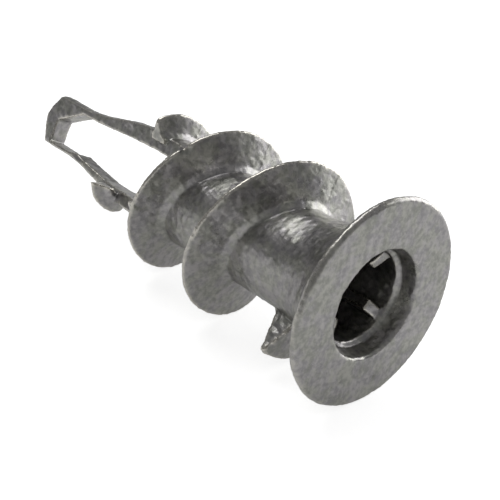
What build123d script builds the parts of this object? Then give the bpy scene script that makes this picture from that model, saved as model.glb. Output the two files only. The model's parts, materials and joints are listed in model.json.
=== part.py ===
from build123d import *
import os
from math import atan2, cos, degrees, radians, sin, sqrt

# Self-drilling plasterboard anchor, die-cast in one piece. Millimetres.
# It is drawn upright about its own axis: z runs from the flange towards the
# drill point, and z = 0 is the flange's widest circle. An angle is counted the
# way the thread climbs. At the end the anchor is laid down on its side.

# Flange
flange_radius = 7.0
face_rise = 0.32          # front face, in front of the widest circle
rim_round = 0.34          # rounding between the face and the widest circle
rim_back = 0.22           # underside's edge, behind the widest circle
rim_inset = 0.12          # and inside it
underside_radius = 4.9    # where the underside runs out into the neck
underside_depth = 1.15

# Neck, tube and point
tube_radius = 3.4
neck_length = 6.0         # z where the neck's flare has faded out
tube_end_radius = 3.3
waist_radius = 2.0        # the fork's narrowest, just behind the point
blade_radius = 2.0
chisel_radius = 0.12
point_z = 34.75
blade_shoulder = point_z - 1.1
waist_z = point_z - 4.35
tube_end = point_z - 14.25
belly_radius = 2.86       # of the arms, between the tube's end and the waist
belly_z = (tube_end + waist_z) / 2 - 0.4
tube_end_slope = -0.03
waist_slope = -0.05

# Screw-head recess, bore and drive ribs
recess_radius = 3.62
recess_round = 0.28
recess_end_radius = 3.42
recess_depth = 0.86       # z of the ledge's outer edge
ledge_width = 0.32
ledge_drop = 0.14
socket_end_radius = 2.45
socket_end = 7.0
bore_radius = 1.95
bore_start = 8.2
rib_count = 4
rib_angle = -8.0
rib_thickness = 0.75
rib_reach = 0.03          # the ribs end this far inside the bore's radius
rib_top_slope = 0.45      # rise of a rib's top from the wall to its inner edge
rib_top_drop = 0.18       # below the ledge's inner edge
rib_end = 7.4
rib_end_slope = 0.8
rib_foot = 0.3            # how far a rib's end steps away from its inner edge
rib_bury = 0.1            # how deep a rib is sunk into the wall

# Thread
thread_hand = -1          # -1 is left-hand, 1 is right-hand
pitch = 6.41
thread_z = 1.6            # crest's z at angle 0, before it starts
thread_start = 170.0
die_wander = 0.41         # each die half's stretch is steeper in its middle
die_angle = 82.0
crest_radius = 6.18
crest_half = 0.11
crest_drop = 1.40         # how far the crest has come in at the thread's end
taper_angle = 672.0       # over this angle
root_half = 0.95
root_fillet = 0.42
fillet_share = 0.45       # the fillet is no taller than this share of the thread
fillet_spread = 0.5
root_depth = 0.35         # how deep the thread's foot runs into the tube
section_step = 20.0       # between the thread's sections
end_round = 0.45          # how far the crest rounds off at an end
end_round_angle = 14.0
end_round_steps = (0.5, 0.2, 0.0)

# Fork: window, arms and the two ears of thread that the arms carry
fork_angle = 12.0
window_start = tube_end - 3.1
window_half = bore_radius
window_offset = -0.09     # the window sits off the axis by this
window_far_half = 1.55
window_straight_end = tube_end + 1.0
window_narrow_z = waist_z - 2.0
window_end = blade_shoulder - 0.65
web_length = 2.6          # web between one arm and the point, along the axis
web_width = 1.35
nub_height = 0.2          # bump inside the other arm
nub_z = waist_z - 1.0
nub_length = 2.0
arm_half = 0.8            # half the arms' width
blade_half = 0.7
shoulder_half = 1.5
shoulder_start = tube_end - 1.0
shoulder_end = tube_end + 3.7
shoulder_lean = -25.0     # the shoulder starts earlier at one arm than at the other
ear_reach = 1.1           # the thread may pass the tube's end by this
ear_angle = 30.0          # and it stops this far past an arm's middle
lobe_gap = 68.0           # from there to the other arm's piece of thread
lobe_angle = 94.0
lobe_radius = 4.25
lobe_drop = 0.4

# Rest: the side that faces down, on the flange's rim and on the thread
rest_angle = 214.0

overshoot = 1.0           # of a cut, past what it cuts
bulge = 0.42              # of a rounded edge, from its chord towards the corner

half_turns = int((tube_end + ear_reach - thread_z) / (pitch / 2))
thread_stop = fork_angle + ear_angle + 180 * half_turns
lobe_start = thread_stop + lobe_gap
lobe_stop = lobe_start + lobe_angle


def crest_z(angle):
    wander = die_wander * sin(2 * radians(angle - die_angle))
    return thread_z + pitch * angle / 360 + wander


def crest_r(angle):
    run = 1 - (thread_stop - angle) / taper_angle
    return crest_radius - crest_drop * max(0.0, run) ** 2


def lobe_r(angle):
    return lobe_radius - lobe_drop * (angle - lobe_start) / lobe_angle


def between(z, start, stop, first, last):
    share = min(max((z - start) / (stop - start), 0.0), 1.0)
    return first + (last - first) * share


def outer_radius(z):
    """Radius of the tube, and past its end of the arms, under the thread."""
    if z < tube_end:
        return between(z, neck_length, tube_end, tube_radius, tube_end_radius)
    return between(z, tube_end, belly_z, tube_end_radius, belly_radius)


def at(radius, z):
    return Vector(radius, 0, z)


def run_of_lines(points):
    return [Line(a, b) for a, b in zip(points, points[1:])]


def edge_arc(start, end, corner):
    """Arc from start to end that bulges towards the corner between them."""
    chord = (start + end) / 2
    return ThreePointArc(start, chord + (corner - chord) * bulge, end)


def turned(edges):
    """Solid turned about z from a closed outline in the XZ plane."""
    return revolve(make_face(edges), Axis.Z)


def neck_flare():
    """Arc from the underside's end down to the tube, which it meets smoothly."""
    drop = neck_length - underside_depth
    out = underside_radius - tube_radius
    radius = (drop ** 2 + out ** 2) / (2 * out)
    half_out = radius - sqrt(radius ** 2 - (drop / 2) ** 2)
    return ThreePointArc(
        at(underside_radius, underside_depth),
        at(tube_radius + half_out, underside_depth + drop / 2),
        at(tube_radius, neck_length),
    )


def flange_and_tube():
    face_z = -face_rise
    face_edge = at(flange_radius - rim_round, face_z)
    widest = at(flange_radius, 0)
    outline = [
        Line(at(0, face_z), face_edge),
        edge_arc(face_edge, widest, at(flange_radius, face_z)),
        *run_of_lines([
            widest,
            at(flange_radius - rim_inset, rim_back),
            at(underside_radius, underside_depth),
        ]),
        neck_flare(),
        Line(at(tube_radius, neck_length), at(tube_end_radius, tube_end)),
        Spline(
            at(tube_end_radius, tube_end),
            at(belly_radius, belly_z),
            at(waist_radius, waist_z),
            tangents=[at(tube_end_slope, 1), at(waist_slope, 1)],
        ),
        *run_of_lines([
            at(waist_radius, waist_z),
            at(blade_radius, blade_shoulder),
            at(chisel_radius, point_z),
            at(0, point_z),
            at(0, face_z),
        ]),
    ]
    return turned(outline)


def section(angle, stop, crest):
    """Outline of the thread's section in the half-plane at this angle."""
    z = crest_z(angle)
    rounding = max(0.0, 1 - (stop - angle) / end_round_angle)
    top = crest(angle) - end_round * (1 - sqrt(1 - rounding ** 2))
    wall = outer_radius(z)
    foot = wall - root_depth
    slope = (root_half - crest_half) / (crest_radius - tube_radius)
    half = crest_half + slope * (top - wall)
    fillet = min(root_fillet, fillet_share * (top - wall))
    knee = half - slope * fillet
    spread = half + fillet_spread * fillet
    points = [
        (foot, -spread), (wall, -spread), (wall + fillet, -knee), (top, -crest_half),
        (top, crest_half), (wall + fillet, knee), (wall, spread), (foot, spread),
    ]
    turn = radians(thread_hand * angle)
    corners = [(r * cos(turn), r * sin(turn), z + dz) for r, dz in points]
    return Wire(Polyline(*corners, close=True).edges())


def thread(start, stop, crest):
    plain = stop - end_round_angle
    count = round((plain - start) / section_step)
    angles = [start + (plain - start) * i / count for i in range(count + 1)]
    angles += [stop - end_round_angle * step for step in end_round_steps]
    return Solid.make_loft([section(angle, stop, crest) for angle in angles])


def bore():
    face_z = -face_rise
    lip = at(recess_radius + recess_round, face_z)
    wall_top = at(recess_radius, face_z + recess_round)
    outline = [
        *run_of_lines([
            at(0, face_z - overshoot), at(lip.X, face_z - overshoot), lip,
        ]),
        edge_arc(lip, wall_top, at(recess_radius, face_z)),
        *run_of_lines([
            wall_top,
            at(recess_end_radius, recess_depth),
            at(recess_end_radius - ledge_width, recess_depth + ledge_drop),
            at(socket_end_radius, socket_end),
            at(bore_radius, bore_start),
            at(bore_radius, window_start + overshoot),
            at(0, window_start + overshoot),
            at(0, face_z - overshoot),
        ]),
    ]
    return turned(outline)


def drive_rib(index):
    inner = bore_radius - rib_reach
    wall = recess_end_radius + rib_bury
    top = recess_depth + ledge_drop + rib_top_drop
    outline = Polyline(
        at(inner, top + rib_top_slope),
        at(recess_end_radius - ledge_width, top),
        at(wall, top),
        at(tube_radius - rib_foot, rib_end),
        at(inner + rib_foot, rib_end),
        at(inner, rib_end - rib_end_slope),
        close=True,
    )
    rib = extrude(make_face(outline.edges()), rib_thickness / 2, both=True, dir=(0, 1, 0))
    angle = thread_hand * (rib_angle + 360 / rib_count * index)
    return rib.rotate(Axis.Z, angle)


def window():
    nub = nub_length / 2
    outline = Polyline(
        at(window_half, window_start),
        at(window_half, window_straight_end),
        at(window_far_half, window_narrow_z),
        at(window_far_half, window_end - web_length),
        at(window_far_half - web_width, window_end),
        at(-window_far_half, window_end),
        at(-window_far_half, nub_z + nub),
        at(-window_far_half + nub_height, nub_z),
        at(-window_far_half, nub_z - nub),
        at(-window_half, nub_z - 2 * nub_length),
        at(-window_half, window_start),
        close=True,
    )
    through = 2 * flange_radius
    slot = extrude(make_face(outline.edges()), through, both=True, dir=(0, 1, 0))
    return slot.translate((window_offset, 0, 0))


def beside_the_arms():
    """What is cut away on both sides of the arms and the blade."""
    reach = 2 * crest_radius
    outline = Polyline(
        (0, shoulder_half, shoulder_start),
        (0, arm_half, shoulder_end),
        (0, blade_half, point_z + overshoot),
        (0, reach, point_z + overshoot),
        (0, reach, shoulder_start),
        close=True,
    )
    one = extrude(make_face(outline.edges()), reach, both=True, dir=(1, 0, 0))
    one = one.rotate(Axis((0, 0, shoulder_start), (0, 1, 0)), shoulder_lean)
    return [one, one.rotate(Axis.Z, 180)]


def anchor():
    turn = thread_hand * fork_angle
    body = flange_and_tube()
    for cut in beside_the_arms():
        body -= cut.rotate(Axis.Z, turn)
    body += thread(thread_start, thread_stop, crest_r)
    body += thread(lobe_start, lobe_stop, lobe_r)
    body -= bore()
    body -= window().rotate(Axis.Z, turn)
    for i in range(rib_count):
        body += drive_rib(i)
    return body


def laid_down(body):
    """The anchor on its side, as it comes to rest: on the flange's rim and on
    the crest below the centre of gravity, with the point along +X."""
    touching = rest_angle + 360
    reach = crest_z(touching) + crest_half
    tilt = degrees(atan2(flange_radius - crest_r(touching), reach))
    body = body.rotate(Axis.Z, -thread_hand * rest_angle)
    body = body.rotate(Axis.Y, 90 + tilt)
    box = body.bounding_box()
    return body.translate((-box.center().X, -box.center().Y, -box.min.Z))


os.makedirs("parts", exist_ok=True)
body = laid_down(anchor())
export_step(body, "parts/anchor_body.step")
print("volume", round(body.volume, 1), "box", body.bounding_box())
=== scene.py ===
import bpy
import json
import numpy as np
from math import cos, pi, radians, sin
from mathutils import Matrix, Vector


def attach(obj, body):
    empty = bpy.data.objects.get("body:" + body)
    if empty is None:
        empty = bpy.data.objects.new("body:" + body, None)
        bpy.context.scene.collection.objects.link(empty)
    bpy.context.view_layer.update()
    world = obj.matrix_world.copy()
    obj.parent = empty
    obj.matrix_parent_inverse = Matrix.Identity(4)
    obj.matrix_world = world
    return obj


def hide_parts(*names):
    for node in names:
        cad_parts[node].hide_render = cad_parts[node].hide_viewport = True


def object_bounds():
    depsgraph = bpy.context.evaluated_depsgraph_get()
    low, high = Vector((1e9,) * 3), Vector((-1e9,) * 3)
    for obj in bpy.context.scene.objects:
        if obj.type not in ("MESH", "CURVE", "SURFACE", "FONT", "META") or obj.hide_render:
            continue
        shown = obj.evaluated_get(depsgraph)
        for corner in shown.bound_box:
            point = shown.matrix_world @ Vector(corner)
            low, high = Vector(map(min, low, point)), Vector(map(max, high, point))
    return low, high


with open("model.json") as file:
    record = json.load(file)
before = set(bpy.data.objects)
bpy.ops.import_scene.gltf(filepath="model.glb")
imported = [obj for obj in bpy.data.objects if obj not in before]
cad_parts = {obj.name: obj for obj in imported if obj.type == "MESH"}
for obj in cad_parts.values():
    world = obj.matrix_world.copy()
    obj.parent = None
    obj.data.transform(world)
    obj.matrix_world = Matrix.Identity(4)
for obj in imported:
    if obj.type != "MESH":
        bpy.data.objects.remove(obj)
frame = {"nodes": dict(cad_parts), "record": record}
cadLow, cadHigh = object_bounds()
bpy.ops.object.select_all(action="DESELECT")
print("frame loaded, size in mm", [round(v * 1000, 2) for v in cadHigh - cadLow])

mm = 0.001

cameraSettings = {
    "lens": 83.88,                 # on a 36 mm sensor
    "azimuth": -137.41,            # 0 looks along +Y
    "elevation": 28.76,
    "roll": 11.48,                 # the anchor lies rolled a little on its side
    "distance": 80.66 * mm,
    "aim": (-4.53 * mm, -1.66 * mm, -3.37 * mm),   # from the middle of the object's box
    "nearest": 1 * mm,
}


def addCamera(settings):
    turn, rise = radians(settings["azimuth"]), radians(settings["elevation"])
    back = Vector((sin(turn) * cos(rise), -cos(turn) * cos(rise), sin(rise)))
    aim = (cadLow + cadHigh) / 2 + Vector(settings["aim"])
    camera = bpy.data.objects.new("camera", bpy.data.cameras.new("camera"))
    bpy.context.scene.collection.objects.link(camera)
    camera.data.lens = settings["lens"]
    camera.data.clip_start = settings["nearest"]
    camera.location = aim + back * settings["distance"]
    roll = Matrix.Rotation(radians(settings["roll"]), 3, "Z")
    facing = (-back).to_track_quat("-Z", "Y").to_matrix() @ roll
    camera.rotation_mode = "QUATERNION"
    camera.rotation_quaternion = facing.to_quaternion()
    bpy.context.scene.camera = camera
    return facing


cameraFacing = addCamera(cameraSettings)
print("camera placed")


class Value:
    # wraps one socket, so that shader maths reads as an expression

    def __init__(self, sheet, socket):
        self.sheet, self.socket = sheet, socket

    def math(self, operation, other, clamp=False):
        settings = {"operation": operation, "use_clamp": clamp}
        return self.sheet.add("ShaderNodeMath", settings, {0: self, 1: other})

    def __add__(self, other):
        return self.math("ADD", other)

    def __sub__(self, other):
        return self.math("SUBTRACT", other)

    def __mul__(self, other):
        return self.math("MULTIPLY", other)

    def __rsub__(self, other):
        return self * -1 + other

    __radd__, __rmul__ = __add__, __mul__

    def clamped(self):
        return self.math("ADD", 0.0, clamp=True)

    def between(self, low, high):
        # 0 below low, 1 above high, smooth on the way
        return self.sheet.add("ShaderNodeMapRange", {"interpolation_type": "SMOOTHSTEP"},
                              {"Value": self, "From Min": low, "From Max": high}, "Result")


class Sheet:
    # a material's node sheet

    def __init__(self, name):
        self.material = bpy.data.materials.new(name)
        self.material.use_nodes = True
        self.nodes = self.material.node_tree.nodes
        self.links = self.material.node_tree.links
        self.nodes.clear()

    def add(self, kind, settings=None, inputs=None, output=0):
        node = self.nodes.new(kind)
        for name, value in (settings or {}).items():
            setattr(node, name, value)
        for name, value in (inputs or {}).items():
            socket = node.inputs[name]
            if isinstance(value, Value):
                self.links.new(value.socket, socket)
            elif socket.type == "RGBA":
                socket.default_value = (*value, 1)
            else:
                socket.default_value = value
        return Value(self, node.outputs[output]) if len(node.outputs) else None

    def noise(self, coordinates, scale, detail, roughness):
        return self.add("ShaderNodeTexNoise", {}, {"Vector": coordinates, "Scale": scale,
                        "Detail": detail, "Roughness": roughness})

    def mix(self, share, first, second):
        return self.add("ShaderNodeMix", {"data_type": "RGBA"}, {0: share, 6: first, 7: second}, 2)

    def attribute(self, name):
        return self.add("ShaderNodeAttribute", {"attribute_name": name}, {}, "Fac")

    def finish(self, shader):
        self.add("ShaderNodeOutputMaterial", {}, {"Surface": shader})
        return self.material


# where the anchor lies: its own axis runs from the flange to the point, and its
# zero angle and climbing sense are the thread's
poseSettings = {"restAngle": 214.0, "threadHand": -1, "faceRise": 0.32 * mm}

threadSettings = {
    "pitch": 6.41 * mm, "start": 1.6 * mm, "wander": 0.41 * mm, "wanderAngle": 82.0,
    "radius": 6.18 * mm, "drop": 1.40 * mm, "stop": 1122.0, "taperAngle": 672.0,
    "firstAngle": 170.0,
}

castingSettings = {
    "mergeDistance": 0.002 * mm,
    "voxel": 0.075 * mm,
    "smoothFactor": 0.5, "smoothTimes": 2,
    "triangles": 190000,
    "swell": (1.6 * mm, 0.014 * mm),       # size and height of the cast skin's slow waves
    "orangePeel": (0.45 * mm, 0.011 * mm),
    "outsideRadius": 3.0 * mm,             # everything further out than this is outer skin
    "partingAngle": 174.0,                 # and half a turn on
    "partingStart": 1.5 * mm,              # where the ridge begins, along the axis
    "partingWidth": 0.10 * mm,
    "partingHeight": 0.03 * mm,
    "startRoughness": (0.6 * mm, 0.02 * mm),     # size and height, at the thread's first face
    "startSpread": 5.0,                    # degrees
    # thread angle, spread in degrees and depth of the nicks in the crest
    "nicks": ((785.0, 3.0, 0.22 * mm), (610.0, 2.0, 0.07 * mm),
              (690.0, 1.6, 0.09 * mm), (980.0, 2.2, 0.08 * mm)),
    "nickDepth": 0.35 * mm,                # how far in from the crest a nick reaches
    # radius, angle, width and depth of the small dents in the flange's face
    "dents": ((5.6 * mm, 225.0, 0.22 * mm, 0.10 * mm), (5.3 * mm, 190.0, 0.16 * mm, 0.05 * mm),
              (5.8 * mm, 184.0, 0.20 * mm, 0.06 * mm)),
    # radius, angle, reach in degrees, width and depth
    "scratch": (5.5 * mm, 338.0, 16.0, 0.07 * mm, 0.03 * mm),
    "faceDepth": 0.25 * mm,                # how deep the face's marks are felt
    "bendSmoothing": 3,
    "wearStart": 900.0, "wearRange": 2600.0,     # bends in the skin, in radians a metre
    # the concave part of the bend range sets how strongly corners get painted shade
    "paintedShadeStart": 500.0, "paintedShadeRange": 2200.0,
}


def mountNamed(name):
    return next(m for m in frame["record"]["mounts"] if m["name"] == name)


class AnchorAxes:
    # the anchor's own axes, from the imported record's flange face and bore

    def __init__(self):
        bore = mountNamed("screw_bore")
        face = mountNamed("flange_face")
        self.along = -Vector(bore["axis"]).normalized()
        gap = (Vector(face["pos_m"]) - Vector(bore["pos_m"])).dot(self.along)
        self.origin = Vector(bore["pos_m"]) + self.along * (gap + poseSettings["faceRise"])
        side = Vector((0, 1, 0))
        up = self.along.cross(side)
        turn = radians(poseSettings["restAngle"])
        # the rest angle faces down
        self.zero = -up * cos(turn) - side * sin(turn) * poseSettings["threadHand"]
        self.quarter = self.along.cross(self.zero) * poseSettings["threadHand"]

    def coordinates(self, points):
        # radius, angle in degrees and distance along the axis of each point
        offset = points - np.array(self.origin)
        x = offset @ np.array(self.zero)
        y = offset @ np.array(self.quarter)
        return np.hypot(x, y), np.degrees(np.arctan2(y, x)) % 360, offset @ np.array(self.along)


axes = AnchorAxes()


def crestHeight(angle):
    t = threadSettings
    wander = t["wander"] * np.sin(2 * np.radians(angle - t["wanderAngle"]))
    return t["start"] + t["pitch"] * angle / 360 + wander


def crestRadius(angle):
    t = threadSettings
    run = np.clip(1 - (t["stop"] - angle) / t["taperAngle"], 0, None)
    return t["radius"] - t["drop"] * run ** 2


def unwoundAngle(angle, z):
    # the thread's own angle, turns included, of the crest nearest to each point
    return angle + 360 * np.round((z - crestHeight(angle)) / threadSettings["pitch"])


def hump(values, centre, width):
    return np.exp(-((values - centre) / width) ** 2)


tissueSettings = {"waves": 26, "shortest": 0.6, "longest": 1.6}


def tissue(points, size, seed):
    # smooth random field, mostly within -1 to 1, made of plane waves
    s = tissueSettings
    rng = np.random.default_rng(seed)
    total = np.zeros(len(points))
    for i in range(s["waves"]):
        direction = rng.normal(size=3)
        direction /= np.linalg.norm(direction)
        length = size * rng.uniform(s["shortest"], s["longest"])
        start = rng.uniform(0, 2 * pi)
        total += np.sin(points @ direction * (2 * pi / length) + start)
    return total / np.sqrt(s["waves"])


def meshVectors(mesh, name):
    values = np.empty(len(mesh.vertices) * 3)
    mesh.vertices.foreach_get(name, values)
    return values.reshape(-1, 3)


def copyOfNode(name, newName):
    piece = bpy.data.objects.new(newName, frame["nodes"][name].data.copy())
    bpy.context.scene.collection.objects.link(piece)
    bpy.ops.object.select_all(action="DESELECT")
    piece.select_set(True)
    bpy.context.view_layer.objects.active = piece
    return piece


def applyModifier(piece, kind, settings):
    modifier = piece.modifiers.new(kind.lower(), kind)
    for name, value in settings.items():
        setattr(modifier, name, value)
    bpy.ops.object.modifier_apply(modifier=modifier.name)


def fineSkin(piece):
    s = castingSettings
    bpy.ops.object.mode_set(mode="EDIT")
    bpy.ops.mesh.select_all(action="SELECT")
    bpy.ops.mesh.remove_doubles(threshold=s["mergeDistance"])
    bpy.ops.object.mode_set(mode="OBJECT")
    applyModifier(piece, "REMESH", {"mode": "VOXEL", "voxel_size": s["voxel"]})
    applyModifier(piece, "SMOOTH", {"factor": s["smoothFactor"], "iterations": s["smoothTimes"]})
    print("fine skin", len(piece.data.vertices))


def faceMarks(r, angle, z):
    # dents and one scratch in the flat ring round the recess
    s = castingSettings
    onFace = hump(z, -poseSettings["faceRise"], s["faceDepth"])
    move = np.zeros(len(r))
    for radius, place, width, depth in s["dents"]:
        across = (angle - place) * np.pi / 180 * radius
        move -= depth * np.exp(-((r - radius) ** 2 + across ** 2) / width ** 2)
    radius, place, reach, width, depth = s["scratch"]
    move -= depth * hump(r, radius, width) * hump(angle, place, reach)
    return move * onFace


def movedSkin(piece):
    # the cast skin's unevenness, the parting line, the nicked crests and the marks
    s = castingSettings
    mesh = piece.data
    points, normals = meshVectors(mesh, "co"), meshVectors(mesh, "normal")
    r, angle, z = axes.coordinates(points)
    own = unwoundAngle(angle, z)
    belowCrest = crestRadius(own) - r
    threaded = (own > threadSettings["firstAngle"]) & (own < threadSettings["stop"])
    move = s["swell"][1] * tissue(points, s["swell"][0], 1)
    move += s["orangePeel"][1] * tissue(points, s["orangePeel"][0], 2)
    across = np.sin(np.radians(angle - s["partingAngle"])) * r
    outside = r > s["outsideRadius"]
    alongRidge = outside & (z > s["partingStart"])
    move += s["partingHeight"] * hump(across, 0, s["partingWidth"]) * alongRidge
    size, height = s["startRoughness"]
    atStart = hump(own, threadSettings["firstAngle"], s["startSpread"]) * outside
    move += height * tissue(points, size, 3) * atStart
    for place, width, depth in s["nicks"]:
        move -= depth * hump(own, place, width) * hump(belowCrest, 0, s["nickDepth"]) * threaded
    move += faceMarks(r, angle, z)
    mesh.vertices.foreach_set("co", (points + normals * move[:, None]).ravel())
    mesh.update()


def kept(piece):
    # thinned, and inside the box of the CAD body
    triangles = sum(len(p.vertices) - 2 for p in piece.data.polygons)
    applyModifier(piece, "DECIMATE", {"ratio": min(1.0, castingSettings["triangles"] / triangles)})
    points = np.clip(meshVectors(piece.data, "co"), np.array(cadLow), np.array(cadHigh))
    piece.data.vertices.foreach_set("co", points.ravel())
    piece.data.update()
    bpy.ops.object.shade_smooth()
    print("thinned to", len(piece.data.polygons), "faces")


def skinBend(mesh):
    # how sharply the skin bends at each vertex: above 0 on edges, below 0 in corners
    points, normals = meshVectors(mesh, "co"), meshVectors(mesh, "normal")
    ends = np.empty(len(mesh.edges) * 2, dtype=np.int32)
    mesh.edges.foreach_get("vertices", ends)
    first, second = ends.reshape(-1, 2).T
    step = points[second] - points[first]
    tiny = 1e-14                           # keeps an edge of no length from dividing by nothing
    bend = ((normals[second] - normals[first]) * step).sum(1) / np.maximum((step * step).sum(1), tiny)
    count = len(points)
    meets = np.maximum(np.bincount(ends, minlength=count), 1)
    value = (np.bincount(first, bend, count) + np.bincount(second, bend, count)) / meets
    for i in range(castingSettings["bendSmoothing"]):
        around = np.bincount(first, value[second], count) + np.bincount(second, value[first], count)
        value = (value + around / meets) / 2
    return value


def markWearAndPaintedShade(piece):
    # marks the worn convex edges, and the concave corners whose colour is darkened as painted shade
    s = castingSettings
    bend = skinBend(piece.data)
    masks = {
        "wear": (bend - s["wearStart"]) / s["wearRange"],
        "paintedShadeMask": (-bend - s["paintedShadeStart"]) / s["paintedShadeRange"],
    }
    for name, mask in masks.items():
        layer = piece.data.attributes.new(name, "FLOAT", "POINT")
        layer.data.foreach_set("value", np.clip(mask, 0, 1))
    print("worn edges and dirty corners marked")


def buildCasting():
    piece = copyOfNode("anchor_body", "anchorCasting")
    fineSkin(piece)
    movedSkin(piece)
    kept(piece)
    markWearAndPaintedShade(piece)
    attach(piece, "root")
    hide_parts("anchor_body")
    return piece


casting = buildCasting()

zincSettings = {
    "light": (0.54, 0.53, 0.505), "dark": (0.31, 0.31, 0.30),
    "olive": (0.40, 0.41, 0.34), "violet": (0.43, 0.40, 0.45),
    # the darkest colour here is painted shade for concave corners; the palest is for rubbed edges
    "paintedShadeColour": (0.15, 0.15, 0.14), "worn": (0.74, 0.71, 0.64),
    "tintShare": 0.3, "roughness": 0.34,
    # scale, detail and roughness of each noise
    "patches": (520.0, 4.0, 0.6), "tint": (900.0, 3.0, 0.6),
    "fine": (2600.0, 3.0, 0.65), "grain": (9000.0, 2.0, 0.7),
    "mottleShares": (0.7, 0.3),            # fine noise and patches
    "mottleRange": (0.38, 0.62), "tintRange": (0.4, 0.6),
    # the least painted shade in concave corners, and how much the fine noise adds to it
    "paintedShadeLeast": 0.4, "paintedShadeNoise": 0.8, "wornLeast": 0.5,
    "grainRough": 0.3, "patchRough": 0.2, "wornRough": 0.1,
    "grainHeight": 0.4, "fineHeight": 0.8,
    "reliefStrength": 0.4, "reliefDepth": 0.025 * mm,
}


def zincMaterial():
    s = zincSettings
    sheet = Sheet("dullZinc")
    place = sheet.add("ShaderNodeTexCoord", {}, {}, "Object")
    patches = sheet.noise(place, *s["patches"])
    tint = sheet.noise(place, *s["tint"])
    fine = sheet.noise(place, *s["fine"])
    grain = sheet.noise(place, *s["grain"])
    fineShare, patchShare = s["mottleShares"]
    mottle = fine * fineShare + patches * patchShare
    colour = sheet.mix(mottle.between(*s["mottleRange"]), s["dark"], s["light"])
    tints = sheet.mix(tint.between(*s["tintRange"]), s["olive"], s["violet"])
    colour = sheet.mix(s["tintShare"], colour, tints)
    # painted shade: concave corners are darkened in the colour, broken up by the fine noise
    shaded = sheet.attribute("paintedShadeMask") * (s["paintedShadeLeast"] + fine * s["paintedShadeNoise"])
    colour = sheet.mix(shaded.clamped(), colour, s["paintedShadeColour"])
    worn = (sheet.attribute("wear") * (s["wornLeast"] + fine)).clamped()
    colour = sheet.mix(worn, colour, s["worn"])
    rough = s["roughness"] + (grain - 0.5) * s["grainRough"] + (patches - 0.5) * s["patchRough"]
    rough = rough - worn * s["wornRough"]
    height = grain * s["grainHeight"] + fine * s["fineHeight"]
    relief = sheet.add("ShaderNodeBump", {}, {
        "Strength": s["reliefStrength"], "Distance": s["reliefDepth"], "Height": height}, "Normal")
    skin = sheet.add("ShaderNodeBsdfPrincipled", {}, {"Base Color": colour, "Metallic": 1.0,
                     "Roughness": rough.clamped(), "Normal": relief}, "BSDF")
    return sheet.finish(skin)


casting.data.materials.clear()
casting.data.materials.append(zincMaterial())
print("zinc made")

studioSettings = {
    "floorSize": 2.0, "floorColour": (0.85, 0.85, 0.85),
    "floorGlow": 0.75,             # added where the floor is seen
    "mirroredShare": 0.25,         # share of that glow where the metal mirrors it
    "worldStrength": 0.2,
    # right, up and away from the camera, then distance, width, height and brightness
    "lamps": {
        "sideLamp": (0.85, 0.35, 0.40, 170 * mm, 150 * mm, 150 * mm, 2.2),
        "topLamp": (-0.16, 0.93, -0.22, 150 * mm, 130 * mm, 90 * mm, 2.2),
    },
}


def addFloor(s):
    bpy.ops.object.select_all(action="DESELECT")
    bpy.ops.mesh.primitive_plane_add(size=s["floorSize"], location=(0, 0, 0))
    floor = bpy.context.active_object
    floor.name = "floor"
    sheet = Sheet("paleFloor")
    plain = sheet.add("ShaderNodeBsdfDiffuse", {}, {"Color": s["floorColour"]})
    glow = sheet.add("ShaderNodeEmission", {}, {"Color": (1, 1, 1), "Strength": s["floorGlow"]})
    both = sheet.add("ShaderNodeAddShader", {}, {0: plain, 1: glow})
    rays = [sheet.add("ShaderNodeLightPath", {}, {}, name)
            for name in ("Is Camera Ray", "Is Glossy Ray", "Is Transmission Ray")]
    seen = (rays[0] + (rays[1] + rays[2]) * s["mirroredShare"]).clamped()
    skin = sheet.add("ShaderNodeMixShader", {}, {0: seen, 1: plain, 2: both})
    floor.data.materials.append(sheet.finish(skin))


def addWorld(s):
    world = bpy.data.worlds.new("studio")
    bpy.context.scene.world = world
    world.use_nodes = True
    sky = world.node_tree.nodes["Background"]
    sky.inputs["Color"].default_value = (1, 1, 1, 1)
    sky.inputs["Strength"].default_value = s["worldStrength"]


def addLamp(name, right, up, away, distance, width, height, brightness):
    towards = (cameraFacing @ Vector((right, up, -away))).normalized()
    lamp = bpy.data.objects.new(name, bpy.data.lights.new(name, "AREA"))
    bpy.context.scene.collection.objects.link(lamp)
    lamp.data.shape = "RECTANGLE"
    lamp.data.size, lamp.data.size_y = width, height
    lamp.data.energy = brightness * pi * width * height
    lamp.location = (cadLow + cadHigh) / 2 + towards * distance
    lamp.rotation_mode = "QUATERNION"
    lamp.rotation_quaternion = (-towards).to_track_quat("-Z", "Y")


addFloor(studioSettings)
addWorld(studioSettings)
for lampName, lampPlace in studioSettings["lamps"].items():
    addLamp(lampName, *lampPlace)
bpy.context.scene.view_settings.view_transform = "Standard"
print("studio lit")
